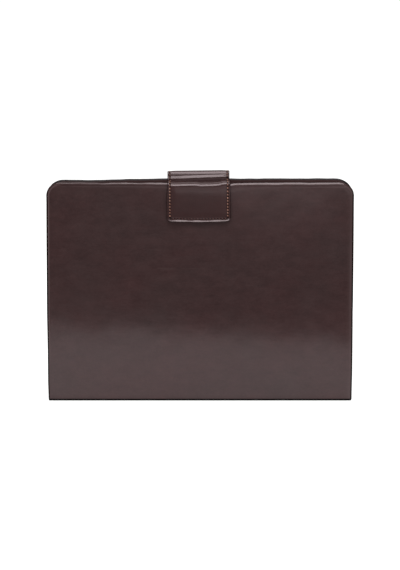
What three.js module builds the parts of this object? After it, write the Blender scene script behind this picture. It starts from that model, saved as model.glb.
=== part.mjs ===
// A slim laptop and document bag of padded leather, standing on its base with its tab closed.
// Millimetres, +Z up. The front faces -Y. The origin is on the floor, under the middle of the bag.

import * as THREE from 'three';

// Driving dimensions of the bag

const bagWidth = 340;
const bagDepth = 32;
const wallHeight = 248;
const wallThickness = 4;
const topCornerRadius = 18;
const baseOuterBend = 2.5;
const baseInnerBend = 0.6;
const faceCrown = 1.5;
const rimDip = 1.7;

// Driving dimensions of the side gussets

const gussetThickness = 1.5;
const gussetInset = 1.5;
const gussetFlange = 9;
const gussetFold = 13;
const gussetFlangeBend = 3;
const gussetFoldBend = 4;
const gussetBelowCorner = 4;
const gussetNotch = 7;

// Driving dimensions of the closing tab and its clasp

const tabWidth = 69;
const tabThickness = 2;
const tabRise = 8.8;
const tabTilt = 0.7;
const tabFrontDrop = 43;
const tabBackDrop = 45;
const tabCornerRadius = 3;
const tabRearShift = -2.6;
const tabFrontShift = -1.4;
const tabRimReach = 7;
const claspDiameter = 16;
const claspThickness = 1.6;
const claspAboveTabEnd = 15;

// Air left between two pieces that are sewn or pressed together on the real bag

const seatGap = 0.3;

// Fineness of the facets

const edgeTurns = 3;
const cornerTurns = 5;
const bendTurns = 3;
const thinEdgeTurns = 2;
const closestSteps = 0.35;
const wallRows = 7;
const baseRows = 2;
const coverColumns = 10;
const tabColumns = 4;
const tabLegStep = 9;
const tabFoldStep = 1.1;
const gussetRows = 3;
const gussetBendSteps = 4;
const discSides = 28;

// Folds of the tab between its two legs, from the back to the front. forward is the place of the
// middle of the leather as a share of the bag's depth, counted from the back wall's outer face,
// and rise is its height above the rim as a share of the loop's height.
const tabFolds = [
  { fold: 'above the back wall', forward: -0.04, rise: 0.34 },
  { fold: 'back of the loop', forward: -0.016, rise: 0.7 },
  { fold: 'top of the loop', forward: 0.022, rise: 0.88 },
  { fold: 'slope of the loop', forward: 0.094, rise: 0.58 },
  { fold: 'ridge', forward: 0.13, rise: 0.44 },
  { fold: 'under the ridge', forward: 0.152, rise: 0.25 },
  { fold: 'steep face', forward: 0.166, rise: -0.12 },
  { fold: 'crease', forward: 0.188, rise: -0.32 },
  { fold: 'valley', forward: 0.25, rise: -0.37 },
  { fold: 'middle of the mouth', forward: 0.5, rise: -0.29 },
  { fold: 'lift', forward: 0.7, rise: -0.08 },
  { fold: 'front wall', forward: 0.84, rise: 0.09 },
];

// The back wall's rim sinks towards the left corner, between these shares of half the width.
const dipStart = 0.27;
const dipEnd = 0.66;

// Sheets of leather

// Distances from an edge at which a rolled edge and a round corner need a row of points.
function borderSteps(edgeRadius, turns, corner) {
  const steps = [];
  for (let turn = 0; turn <= turns; turn++) {
    steps.push(edgeRadius * (1 - Math.cos((turn / turns) * (Math.PI / 2))));
  }
  for (let turn = 1; turn <= cornerTurns; turn++) {
    const step = corner * (1 - Math.cos((turn / cornerTurns) * (Math.PI / 2)));
    if (steps.every((other) => Math.abs(other - step) > closestSteps)) {
      steps.push(step);
    }
  }
  return steps.sort((a, b) => a - b);
}

// Places from one end to the other of a length: the border's steps at both ends, and even
// steps between them.
function placesAlong(length, border, between) {
  const reach = border[border.length - 1];
  const places = [...border];
  for (let step = 1; step < between; step++) {
    places.push(reach + ((length - 2 * reach) * step) / between);
  }
  for (const step of [...border].reverse()) {
    places.push(length - step);
  }
  return places;
}

// How far inside a rounded rectangle's outline a point lies. The rectangle is centred on zero.
function distanceInside(across, along, halfAcross, halfAlong, corner) {
  const pastAcross = Math.abs(across) - (halfAcross - corner);
  const pastAlong = Math.abs(along) - (halfAlong - corner);
  const towardsCorner = Math.hypot(Math.max(pastAcross, 0), Math.max(pastAlong, 0));
  return corner - towardsCorner - Math.min(Math.max(pastAcross, pastAlong), 0);
}

// The share of its thickness that a sheet has near its edge, where the edge is a half round.
function rolledShare(distance, edgeRadius) {
  const reach = THREE.MathUtils.clamp(distance / edgeRadius, 0, 1);
  return Math.sqrt(1 - (1 - reach) ** 2);
}

// A pair of points, one on each face of the sheet, drawn towards their middle at the edge.
function pair(outer, inner, share) {
  const middle = outer.clone().lerp(inner, 0.5);
  return {
    outer: middle.clone().lerp(outer, share),
    inner: middle.clone().lerp(inner, share),
  };
}

// A closed sheet from a grid of pairs. The two faces share their points along the border, and
// each cell's diagonal runs towards the nearest corner of the grid.
function sheetGeometry(grid) {
  const lastRow = grid.length - 1;
  const lastColumn = grid[0].length - 1;
  const positions = [];
  const outerIndex = [];
  const innerIndex = [];
  grid.forEach((row, i) => {
    outerIndex.push([]);
    innerIndex.push([]);
    row.forEach((points, j) => {
      outerIndex[i].push(positions.length / 3);
      positions.push(...points.outer.toArray());
      const onBorder = i === 0 || j === 0 || i === lastRow || j === lastColumn;
      if (onBorder) {
        innerIndex[i].push(outerIndex[i][j]);
      } else {
        innerIndex[i].push(positions.length / 3);
        positions.push(...points.inner.toArray());
      }
    });
  });
  const faces = [];
  for (let i = 0; i < lastRow; i++) {
    for (let j = 0; j < lastColumn; j++) {
      const sameHalf = i < lastRow / 2 === j < lastColumn / 2;
      for (const index of [outerIndex, innerIndex]) {
        const cell = [index[i][j], index[i + 1][j], index[i + 1][j + 1], index[i][j + 1]];
        if (index === innerIndex) {
          cell.reverse();
        }
        const start = sameHalf === (index === outerIndex) ? 0 : 1;
        const turned = [...cell.slice(start), ...cell.slice(0, start)];
        faces.push(turned[0], turned[1], turned[2], turned[0], turned[2], turned[3]);
      }
    }
  }
  const geometry = new THREE.BufferGeometry();
  geometry.setAttribute('position', new THREE.Float32BufferAttribute(positions, 3));
  geometry.setIndex(faces);
  geometry.computeVertexNormals();
  return geometry;
}

function leatherMesh(name, geometry, color, roughness) {
  const material = new THREE.MeshStandardMaterial({ color, roughness, metalness: 0 });
  const mesh = new THREE.Mesh(geometry, material);
  mesh.name = name;
  return mesh;
}

// Cover: front wall, base and back wall in one padded hide

// How far the padded wall stands out at a depth below the rim, midway between the sides.
function crownAt(depth) {
  return faceCrown * Math.sin((Math.PI * THREE.MathUtils.clamp(depth, 0, wallHeight)) / wallHeight);
}

function coverStations() {
  const edgeRadius = wallThickness / 2;
  const wallFoot = Math.max(baseOuterBend, wallThickness + baseInnerBend);
  const wallRun = wallHeight - wallFoot;
  const border = borderSteps(edgeRadius, edgeTurns, topCornerRadius);
  const depths = [...border];
  const cornerReach = border[border.length - 1];
  for (let row = 1; row <= wallRows; row++) {
    depths.push(cornerReach + ((wallRun - cornerReach) * row) / wallRows);
  }
  const half = bagDepth / 2;
  const wall = depths.map((depth) => ({
    outer: [half, wallHeight - depth],
    inner: [half - wallThickness, wallHeight - depth],
    rim: depth,
  }));
  const bend = [];
  for (let turn = 0; turn <= bendTurns; turn++) {
    const angle = (turn / bendTurns) * (Math.PI / 2);
    const outerShare = [1 - Math.cos(angle), 1 - Math.sin(angle)];
    bend.push({
      outer: [half - baseOuterBend * outerShare[0], baseOuterBend * outerShare[1]],
      inner: [
        half - wallThickness - baseInnerBend * outerShare[0],
        wallThickness + baseInnerBend * outerShare[1],
      ],
      rim: wallRun + wallThickness * angle,
    });
  }
  const side = [...wall.slice(0, -1), ...bend];
  const flat = [];
  const bendEnd = side[side.length - 1];
  for (let row = 1; row < 2 * baseRows; row++) {
    const share = 1 - row / baseRows;
    flat.push({
      outer: [bendEnd.outer[0] * share, 0],
      inner: [bendEnd.inner[0] * share, wallThickness],
      rim: bendEnd.rim + bendEnd.outer[0],
    });
  }
  const front = side.map((station) => ({ ...station, facing: -1 }));
  const base = flat.map((station) => ({ ...station, facing: -1 }));
  const back = side.map((station) => ({ ...station, facing: 1 })).reverse();
  return [...front, ...base, ...back];
}

function coverGeometry() {
  const edgeRadius = wallThickness / 2;
  const halfWidth = bagWidth / 2;
  const sideSteps = borderSteps(edgeRadius, edgeTurns, edgeRadius);
  const grid = coverStations().map((station) => {
    const cornerRise = Math.max(topCornerRadius - station.rim, 0);
    const cornerCut = topCornerRadius - Math.sqrt(topCornerRadius ** 2 - cornerRise ** 2);
    const rowHalf = halfWidth - cornerCut;
    const crown = crownAt(station.rim);
    return placesAlong(2 * rowHalf, sideSteps, coverColumns).map((place) => {
      const x = place - rowHalf;
      const upFromFoot = wallHeight - station.rim;
      const inside = distanceInside(x, upFromFoot, halfWidth, wallHeight, topCornerRadius);
      const share = rolledShare(inside, edgeRadius);
      const push = crown * (1 - (x / halfWidth) ** 2);
      const sunk = THREE.MathUtils.smoothstep(-x / halfWidth, dipStart, dipEnd);
      const fade = Math.max(upFromFoot / wallHeight, 0) ** 2;
      const drop = station.facing > 0 ? rimDip * sunk * fade : 0;
      const place3d = ([y, z]) => new THREE.Vector3(x, station.facing * (y + push), z - drop);
      return pair(place3d(station.outer), place3d(station.inner), share);
    });
  });
  return sheetGeometry(grid);
}

// Gussets: a strip on each narrow side, sewn to both walls and folded in between them

function gussetPath(side) {
  const flangeY = bagDepth / 2 - wallThickness - seatGap - gussetThickness / 2;
  const edgeX = bagWidth / 2 - gussetInset;
  const corners = [
    { x: edgeX, y: -flangeY, bend: 0 },
    { x: edgeX - gussetFlange, y: -flangeY, bend: gussetFlangeBend },
    { x: edgeX - gussetFlange - gussetFold, y: 0, bend: gussetFoldBend },
    { x: edgeX - gussetFlange, y: flangeY, bend: gussetFlangeBend },
    { x: edgeX, y: flangeY, bend: 0 },
  ].map(({ x, y, bend }) => ({ at: new THREE.Vector3(side * x, y, 0), bend }));
  const path = new THREE.CurvePath();
  let start = corners[0].at;
  for (let k = 1; k < corners.length - 1; k++) {
    const { at, bend } = corners[k];
    const towards = (other) => other.at.clone().sub(at).setLength(bend).add(at);
    const enter = towards(corners[k - 1]);
    const leave = towards(corners[k + 1]);
    path.add(new THREE.LineCurve3(start, enter));
    path.add(new THREE.QuadraticBezierCurve3(enter, at, leave));
    start = leave;
  }
  path.add(new THREE.LineCurve3(start, corners[corners.length - 1].at));
  return path;
}

function gussetGeometry(side) {
  const edgeRadius = gussetThickness / 2;
  const path = gussetPath(side);
  const length = path.getLength();
  const ends = borderSteps(edgeRadius, thinEdgeTurns, edgeRadius);
  const places = [...ends];
  let walked = 0;
  path.curves.forEach((curve, k) => {
    const steps = k % 2 === 0 ? 1 : gussetBendSteps;
    const curveLength = curve.getLength();
    for (let step = 1; step <= steps; step++) {
      places.push(walked + (curveLength * step) / steps);
    }
    walked += curveLength;
  });
  places.pop();
  for (const step of [...ends].reverse()) {
    places.push(length - step);
  }
  const foot = wallThickness + seatGap;
  const top = wallHeight - topCornerRadius - gussetBelowCorner;
  const halfDepth = bagDepth / 2 - wallThickness;
  const up = new THREE.Vector3(0, 0, 1);
  const grid = places.map((place) => {
    const share = THREE.MathUtils.clamp(place / length, 0, 1);
    const point = path.getPointAt(share);
    const facing = path.getTangentAt(share).cross(up).normalize().multiplyScalar(edgeRadius);
    const rowTop = top - gussetNotch * (1 - Math.abs(point.y) / halfDepth);
    return placesAlong(rowTop - foot, ends, gussetRows).map((height) => {
      const inside = Math.min(place, length - place, height, rowTop - foot - height);
      const middle = point.clone().setZ(foot + height);
      return pair(
        middle.clone().add(facing),
        middle.clone().sub(facing),
        rolledShare(inside, edgeRadius),
      );
    });
  });
  return sheetGeometry(grid);
}

// Closing tab: down the back wall, over the mouth and down the front wall

const claspLow = tabFrontDrop - claspAboveTabEnd + claspDiameter / 2;
const claspBackY = bagDepth / 2 + crownAt(claspLow) + seatGap;
const tabSeat = seatGap + tabThickness / 2;
const tabFrontY = claspBackY + claspThickness + tabSeat;

function tabPath() {
  const half = bagDepth / 2;
  const backY = (depth) => half + crownAt(depth) + tabSeat;
  const legTop = tabRimReach;
  const points = [
    [backY(tabBackDrop), -tabBackDrop],
    [backY(legTop), -legTop],
    ...tabFolds.map(({ forward, rise }) => [half - forward * bagDepth, rise * tabRise]),
  ];
  const rimY = half - wallThickness / 2;
  const bendWidth = tabFrontY - rimY;
  const bendHeight = tabSeat + tabRimReach;
  for (const angle of [90, 67, 45, 23]) {
    const turn = THREE.MathUtils.degToRad(angle);
    points.push([
      -rimY - bendWidth * Math.cos(turn),
      -tabRimReach + bendHeight * Math.sin(turn),
    ]);
  }
  points.push([-tabFrontY, -tabRimReach], [-tabFrontY, -tabFrontDrop]);
  const path = new THREE.CatmullRomCurve3(
    points.map(([y, aboveRim]) => new THREE.Vector3(0, y, wallHeight + aboveRim)),
    false,
    'centripetal',
  );
  path.arcLengthDivisions = 1200;
  return path;
}

function tabGeometry() {
  const edgeRadius = tabThickness / 2;
  const path = tabPath();
  const length = path.getLength();
  const border = borderSteps(edgeRadius, edgeTurns, tabCornerRadius);
  const reach = border[border.length - 1];
  const foldStart = tabBackDrop - tabRimReach;
  const foldEnd = length - (tabFrontDrop - tabRimReach);
  const places = [...border];
  const addRun = (from, to, largest) => {
    const steps = Math.max(Math.ceil((to - from) / largest), 1);
    for (let step = 1; step <= steps; step++) {
      places.push(from + ((to - from) * step) / steps);
    }
  };
  addRun(reach, foldStart, tabLegStep);
  addRun(foldStart, foldEnd, tabFoldStep);
  addRun(foldEnd, length - reach, tabLegStep);
  places.pop();
  for (const step of [...border].reverse()) {
    places.push(length - step);
  }
  const across = new THREE.Vector3(1, 0, 0);
  const sideSteps = borderSteps(edgeRadius, edgeTurns, edgeRadius);
  const halfWidth = tabWidth / 2;
  const grid = places.map((place) => {
    const share = THREE.MathUtils.clamp(place / length, 0, 1);
    const point = path.getPointAt(share);
    const facing = path.getTangentAt(share).cross(across).normalize().multiplyScalar(edgeRadius);
    const endCut = Math.max(tabCornerRadius - Math.min(place, length - place), 0);
    const cornerCut = tabCornerRadius - Math.sqrt(tabCornerRadius ** 2 - endCut ** 2);
    const rowHalf = halfWidth - cornerCut;
    const shift = THREE.MathUtils.lerp(tabRearShift, tabFrontShift, share);
    const lift = tabTilt * Math.max((point.z - wallHeight - tabSeat) / tabRise, 0);
    return placesAlong(2 * rowHalf, sideSteps, tabColumns).map((step) => {
      const x = step - rowHalf;
      const inside = distanceInside(x, place - length / 2, halfWidth, length / 2, tabCornerRadius);
      const middle = new THREE.Vector3(x + shift, point.y, point.z + (lift * x) / halfWidth);
      return pair(
        middle.clone().add(facing),
        middle.clone().sub(facing),
        rolledShare(inside, edgeRadius),
      );
    });
  });
  return sheetGeometry(grid);
}

// Clasp: one plain magnetic disc between the tab and the front wall

function claspMesh() {
  const radius = claspDiameter / 2;
  const geometry = new THREE.CylinderGeometry(radius, radius, claspThickness, discSides);
  const material = new THREE.MeshStandardMaterial({ color: 0xb9b6af, roughness: 0.3, metalness: 1 });
  const mesh = new THREE.Mesh(geometry, material);
  mesh.name = 'clasp_disc';
  mesh.position.set(
    tabFrontShift,
    -(claspBackY + claspThickness / 2),
    wallHeight - tabFrontDrop + claspAboveTabEnd,
  );
  return mesh;
}

const bag = new THREE.Group();
bag.add(leatherMesh('cover', coverGeometry(), 0x3e2e2e, 0.35));
bag.add(leatherMesh('gusset_left', gussetGeometry(-1), 0x2f2222, 0.45));
bag.add(leatherMesh('gusset_right', gussetGeometry(1), 0x2f2222, 0.45));
bag.add(leatherMesh('closure_tab', tabGeometry(), 0x433332, 0.3));
bag.add(claspMesh());

export default bag;
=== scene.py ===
# %% [markdown]
# # A laptop document bag in glossy leather
#
# The bag stands on its base: a padded leather cover folded round a narrow bottom, two folded
# sides, and one stitched tab that closes over the mouth. The exact solids come first, as a fixed
# frame, and each later step swaps one plain solid for a finished piece of leather.

# %% Load the frame and keep its box
import math

import bpy
import numpy as np
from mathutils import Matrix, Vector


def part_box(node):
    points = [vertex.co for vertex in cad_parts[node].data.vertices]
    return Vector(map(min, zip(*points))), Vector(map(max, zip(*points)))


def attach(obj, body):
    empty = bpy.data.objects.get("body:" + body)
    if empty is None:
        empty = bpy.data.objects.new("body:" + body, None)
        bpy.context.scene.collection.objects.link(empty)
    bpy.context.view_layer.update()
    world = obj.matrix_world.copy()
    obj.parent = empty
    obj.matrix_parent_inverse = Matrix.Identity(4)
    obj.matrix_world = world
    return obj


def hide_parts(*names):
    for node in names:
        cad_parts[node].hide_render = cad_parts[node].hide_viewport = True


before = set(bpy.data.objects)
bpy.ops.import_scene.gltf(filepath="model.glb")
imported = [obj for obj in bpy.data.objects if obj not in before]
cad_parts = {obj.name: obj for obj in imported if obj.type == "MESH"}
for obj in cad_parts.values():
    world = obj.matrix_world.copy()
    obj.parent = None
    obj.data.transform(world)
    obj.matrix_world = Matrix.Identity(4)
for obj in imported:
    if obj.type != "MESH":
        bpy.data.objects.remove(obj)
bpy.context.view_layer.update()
MM = 0.001
print("solids:", sorted(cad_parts))

# %% [markdown]
# ## Camera
#
# The outline of the bag narrows by about two per cent from top to bottom. A camera that looks
# slightly down from nearly three metres, through a long lens, gives just that. It could be
# found by trial; here its height, distance and lens are worked out from the outline's widths.

# %% Camera
CAMERA_ELEVATION = math.radians(12)
CAMERA_DISTANCE = 2.846
CAMERA_LENS = 160.8
AIM_HEIGHT = 0.1294
CAMERA_SIDE = -0.0002

camera_data = bpy.data.cameras.new("camera")
camera_data.lens = CAMERA_LENS
camera_data.sensor_width = 36
camera = bpy.data.objects.new("camera", camera_data)
camera.location = (
    CAMERA_SIDE,
    -CAMERA_DISTANCE * math.cos(CAMERA_ELEVATION),
    AIM_HEIGHT + CAMERA_DISTANCE * math.sin(CAMERA_ELEVATION),
)
camera.rotation_euler = (math.pi / 2 - CAMERA_ELEVATION, 0, 0)
bpy.context.collection.objects.link(camera)
bpy.context.scene.camera = camera
print("camera at", [round(v, 3) for v in camera.location])

# %% [markdown]
# ## Floor and light
#
# Glossy leather shows the room more than itself. The lower third of the front is brighter than
# the rest because it mirrors a white table top, whose edge lies some way in front of the bag.
# Above that it mirrors dark, and near the rim, towards the right, a pale floor further off with
# a slanting edge, and a far wall behind it. A picture of a studio could be mirrored instead, but
# then each part could not be moved by itself. So the floor is one white plane in four parts, of
# which mirrors see two, and the wall is seen in mirrors alone. A softbox in front and above draws
# the bright lines along the rims and folds, and a dimmer one overhead fills the top of the loop.

# %% Stage
TABLE_SIDE = 0.62
TABLE_BACK = 0.36
TABLE_FRONT_LEFT = 0.46
TABLE_FRONT_RIGHT = 0.2
FLOOR_HALF = 9.0
DARK_REACH = 1.7
PALE_LEFT = 0.01
PALE_LEFT_FAR = -0.7
WHITE = (0.35, 0.35, 0.348, 1)
FLOOR_GLOW = 0.8
AMBIENT = 0.85
MIRRORED_DARK = 0.008
BACKGROUND_WHITE = 1.15
WALL_LEFT = -0.9
WALL_TOP = 2.4
WALL_GLOW = 0.35


def flat_stage(name, corners, faces, material, in_mirrors, heights=0.0):
    """A flat piece of the studio from corners in x and y, at height zero unless given."""
    points = np.column_stack([corners, np.broadcast_to(heights, len(corners))])
    mesh = bpy.data.meshes.new(name)
    mesh.from_pydata(points.tolist(), [], faces)
    mesh.materials.append(material)
    obj = bpy.data.objects.new(name, mesh)
    obj.visible_glossy = in_mirrors
    bpy.context.collection.objects.link(obj)
    return obj


def matte(name, color, glow):
    """A matte paint that shines by itself a little, as a lit light table does."""
    material = bpy.data.materials.new(name)
    material.use_nodes = True
    shader = material.node_tree.nodes["Principled BSDF"]
    shader.inputs["Base Color"].default_value = color
    shader.inputs["Roughness"].default_value = 0.9
    shader.inputs["Specular IOR Level"].default_value = 0.1
    shader.inputs["Emission Color"].default_value = (1, 1, 1, 1)
    shader.inputs["Emission Strength"].default_value = glow
    return material


def oblong(left, right, front, back):
    """Four corners of a rectangle, turning left as seen from above."""
    return np.array([[left, front], [right, front], [right, back], [left, back]])


table_corners = oblong(-TABLE_SIDE, TABLE_SIDE, 0, TABLE_BACK)
table_corners[:2, 1] = -TABLE_FRONT_LEFT, -TABLE_FRONT_RIGHT
ring_corners = np.concatenate(
    [oblong(-FLOOR_HALF, FLOOR_HALF, -DARK_REACH, FLOOR_HALF), table_corners]
)
ring = [(k, (k + 1) % 4, (k + 1) % 4 + 4, k + 4) for k in range(4)]
dark_corners = oblong(-FLOOR_HALF, PALE_LEFT, -FLOOR_HALF, -DARK_REACH)
pale_corners = oblong(PALE_LEFT, FLOOR_HALF, -FLOOR_HALF, -DARK_REACH)
dark_corners[1, 0] = pale_corners[0, 0] = PALE_LEFT_FAR
one_face = [(0, 1, 2, 3)]
floor_paint = matte("floor_paint", WHITE, FLOOR_GLOW)
flat_stage("table", table_corners, one_face, floor_paint, True)
flat_stage("floor_ring", ring_corners, ring, floor_paint, False)
flat_stage("floor_dark", dark_corners, one_face, floor_paint, False)
flat_stage("floor_pale", pale_corners, one_face, floor_paint, True)
wall_ends = np.array([[WALL_LEFT, -FLOOR_HALF], [FLOOR_HALF, -FLOOR_HALF]])
wall_corners = wall_ends[[0, 1, 1, 0]]
wall_heights = [0, 0, WALL_TOP, WALL_TOP]
wall_paint = matte("wall_paint", WHITE, WALL_GLOW)
wall = flat_stage("far_wall", wall_corners, one_face, wall_paint, True, wall_heights)
wall.visible_camera = wall.visible_diffuse = wall.visible_shadow = False
print("table reaches", TABLE_FRONT_LEFT, "and", TABLE_FRONT_RIGHT, "m to the front")


# %% Lights
LAMP_AIM = 0.2


def softbox(name, size, distance, from_vertical, radiance):
    """A rectangular lamp at a distance from a point near the bag's rim, leaning forwards from
    straight up by an angle, and turned to it. Its power is radiance times area times pi."""
    data = bpy.data.lights.new(name, "AREA")
    data.shape = "RECTANGLE"
    data.size, data.size_y = size
    data.energy = radiance * size[0] * size[1] * math.pi
    lamp = bpy.data.objects.new(name, data)
    lean = math.radians(from_vertical)
    lamp.location = (0, -distance * math.sin(lean), LAMP_AIM + distance * math.cos(lean))
    lamp.rotation_euler = (lean, 0, 0)
    bpy.context.collection.objects.link(lamp)


softbox("softbox_front", size=(1.5, 0.78), distance=1.6, from_vertical=37, radiance=7.6)
softbox("softbox_top", size=(1.5, 0.8), distance=1.5, from_vertical=-4, radiance=1.9)

world = bpy.data.worlds.new("studio")
world.use_nodes = True
bpy.context.scene.world = world
tree = world.node_tree
background = tree.nodes["Background"]
path_kind = tree.nodes.new("ShaderNodeLightPath")
mirrored = tree.nodes.new("ShaderNodeMix")
mirrored.inputs[2].default_value = AMBIENT
mirrored.inputs[3].default_value = MIRRORED_DARK
seen = tree.nodes.new("ShaderNodeMix")
seen.inputs[3].default_value = BACKGROUND_WHITE
tree.links.new(path_kind.outputs["Is Glossy Ray"], mirrored.inputs[0])
tree.links.new(mirrored.outputs[0], seen.inputs[2])
tree.links.new(path_kind.outputs["Is Camera Ray"], seen.inputs[0])
tree.links.new(seen.outputs[0], background.inputs["Strength"])
background.inputs["Color"].default_value = (1, 1, 1, 1)
bpy.context.scene.view_settings.view_transform = "Standard"
print("two softboxes, ambient", AMBIENT)

# %% [markdown]
# ## How a sheet of leather is made
#
# A leather wall has two faces that meet in a rolled edge. Solidify would give it square edges
# that need a bevel afterwards. Here both faces are worked out directly: each point of a grid
# knows how far it lies from the outline, and within one radius of the edge the two faces close
# up along a half circle. The grid's border is shared, so the sheet is closed.


# %% Sheets
def rolled_share(distance, radius):
    """Share of the full thickness near an edge: the square root of one less the square of what
    is missing to one radius."""
    reach = np.clip(distance / radius, 0, 1)
    return np.sqrt(1 - (1 - reach) ** 2)


def smooth_step(low, high, value):
    """Zero at low, one at high, and a smooth cubic in between."""
    t = np.clip((value - low) / (high - low), 0, 1)
    return t * t * (3 - 2 * t)


def bell(value, width):
    """A bell curve that is one at zero: e to the power of minus the square of value by width."""
    return np.exp(-((value / width) ** 2))


def read_off(value, table, column=1):
    """What a column of a table says at a value of its first column: straight lines between
    the rows."""
    return np.interp(value, table[:, 0], table[:, column])


def unit(vectors):
    """The same directions with length one: each vector divided by its length."""
    return vectors / np.linalg.norm(vectors, axis=-1, keepdims=True)


def way_along(points):
    """Length of the way along a line of points, up to each of them."""
    return np.concatenate([[0], np.cumsum(np.linalg.norm(np.diff(points, axis=0), axis=1))])


def inward(past_a, past_b, corner):
    """Distance inwards from an outline with round corners, from how far a point lies past the
    centres of the corner circles both ways. Beside a corner it is the radius less the distance
    from the centre, and elsewhere the distance from the nearer straight edge."""
    outside = np.hypot(np.maximum(past_a, 0), np.maximum(past_b, 0))
    return corner - outside - np.minimum(np.maximum(past_a, past_b), 0)


def edge_steps(radius, turns):
    """Distances from an edge at which a quarter circle of that radius turns by equal angles."""
    return radius * (1 - np.cos(np.linspace(0, math.pi / 2, turns + 1)))


def both_ends(length, steps, between):
    """Places along a length: the steps from both ends, with even places between them."""
    reach = steps[-1]
    middle = np.linspace(reach, length - reach, between + 1)[1:-1]
    return np.concatenate([steps, middle, (length - steps)[::-1]])


def waves(first, second, table):
    """A sum of sine waves over two lengths: each row of the table holds a height, the two
    wavelengths and a phase in turns."""
    total = np.zeros(np.broadcast(first, second).shape)
    for height, length_a, length_b, phase in table:
        total += height * np.sin(2 * math.pi * (first / length_a + second / length_b + phase))
    return total


def spline(points, count):
    """A centripetal Catmull-Rom curve: between two points, a cubic whose ends follow the
    neighbours, spaced by the square root of the distances. The first two columns set the
    spacing, and all columns are carried along."""
    ends = np.stack([2 * points[0] - points[1], 2 * points[-1] - points[-2]])
    p = np.concatenate([ends[:1], points, ends[1:]])
    gap = np.linalg.norm(np.diff(p[:, :2], axis=0), axis=1) ** 0.5
    knot = np.concatenate([[0], np.cumsum(gap)])
    pieces = []
    for k in range(1, len(p) - 2):
        t = np.linspace(knot[k], knot[k + 1], count, endpoint=k == len(p) - 3)[:, None]
        t0, t1, t2, t3 = knot[k - 1 : k + 3]
        a1 = (t1 - t) / (t1 - t0) * p[k - 1] + (t - t0) / (t1 - t0) * p[k]
        a2 = (t2 - t) / (t2 - t1) * p[k] + (t - t1) / (t2 - t1) * p[k + 1]
        a3 = (t3 - t) / (t3 - t2) * p[k + 1] + (t - t2) / (t3 - t2) * p[k + 2]
        b1 = (t2 - t) / (t2 - t0) * a1 + (t - t0) / (t2 - t0) * a2
        b2 = (t3 - t) / (t3 - t1) * a2 + (t - t1) / (t3 - t1) * a3
        pieces.append((t2 - t) / (t2 - t1) * b1 + (t - t1) / (t2 - t1) * b2)
    return np.concatenate(pieces)


def closed_sheet(name, outer, inner, finishes, values=None, place=None):
    """A mesh from two grids of points that share their border, with one finish for each. values
    are named numbers for each grid point, and place is a pair of lengths for each grid point,
    kept as a UV map."""
    rows, columns = outer.shape[:2]
    outer_index = np.arange(rows * columns).reshape(rows, columns)
    inner_index = outer_index.copy()
    inside = (rows - 2) * (columns - 2)
    inner_index[1:-1, 1:-1] = rows * columns + np.arange(inside).reshape(rows - 2, columns - 2)
    points = np.concatenate([outer.reshape(-1, 3), inner[1:-1, 1:-1].reshape(-1, 3)])

    def cells(index):
        return np.stack(
            [index[:-1, :-1], index[1:, :-1], index[1:, 1:], index[:-1, 1:]], axis=-1
        ).reshape(-1, 4)

    at_corner = np.zeros((rows - 1, columns - 1), bool)
    at_corner[[0, 0, -1, -1], [0, -1, 0, -1]] = True
    at_corner = at_corner.reshape(-1)
    turn = (np.array([[0], [1], [1], [0]]) + np.arange(4)) % 4
    faces = []
    for cell, mirrored_cell in ((cells(outer_index), False), (cells(inner_index), True)):
        corner = np.take_along_axis(cell[at_corner], turn, axis=1)
        triangles = np.concatenate([corner[:, [0, 1, 2]], corner[:, [0, 2, 3]]])
        quads = cell[~at_corner]
        if mirrored_cell:
            triangles = triangles[:, ::-1]
            quads = quads[:, ::-1]
        faces += quads.tolist() + triangles.tolist()
    mesh = bpy.data.meshes.new(name)
    mesh.from_pydata(points.tolist(), [], faces)
    for finish in finishes:
        mesh.materials.append(finish)
    for key, grid in (values or {}).items():
        both = np.concatenate([grid.reshape(-1), grid[1:-1, 1:-1].reshape(-1)])
        attribute = mesh.attributes.new(key, "FLOAT", "POINT")
        attribute.data.foreach_set("value", both.astype(np.float32))
    lining = np.arange(len(faces)) >= len(faces) // 2
    mesh.polygons.foreach_set("material_index", lining.astype(np.int32))
    mesh.polygons.foreach_set("use_smooth", np.ones(len(faces), bool))
    if place is not None:
        both = np.concatenate([place.reshape(-1, 2), place[1:-1, 1:-1].reshape(-1, 2)])
        corner_point = np.empty(len(mesh.loops), np.int32)
        mesh.loops.foreach_get("vertex_index", corner_point)
        uv = mesh.uv_layers.new(name="UVMap")
        uv.data.foreach_set("uv", both[corner_point].astype(np.float32).reshape(-1))
    obj = bpy.data.objects.new(name, mesh)
    bpy.context.collection.objects.link(obj)
    print(name, len(points), "points,", len(faces), "faces")
    return obj


def facing(middle):
    """Unit normals of a grid of points: the cross product of its two directions."""
    return unit(np.cross(np.gradient(middle, axis=0), np.gradient(middle, axis=1)))
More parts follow.
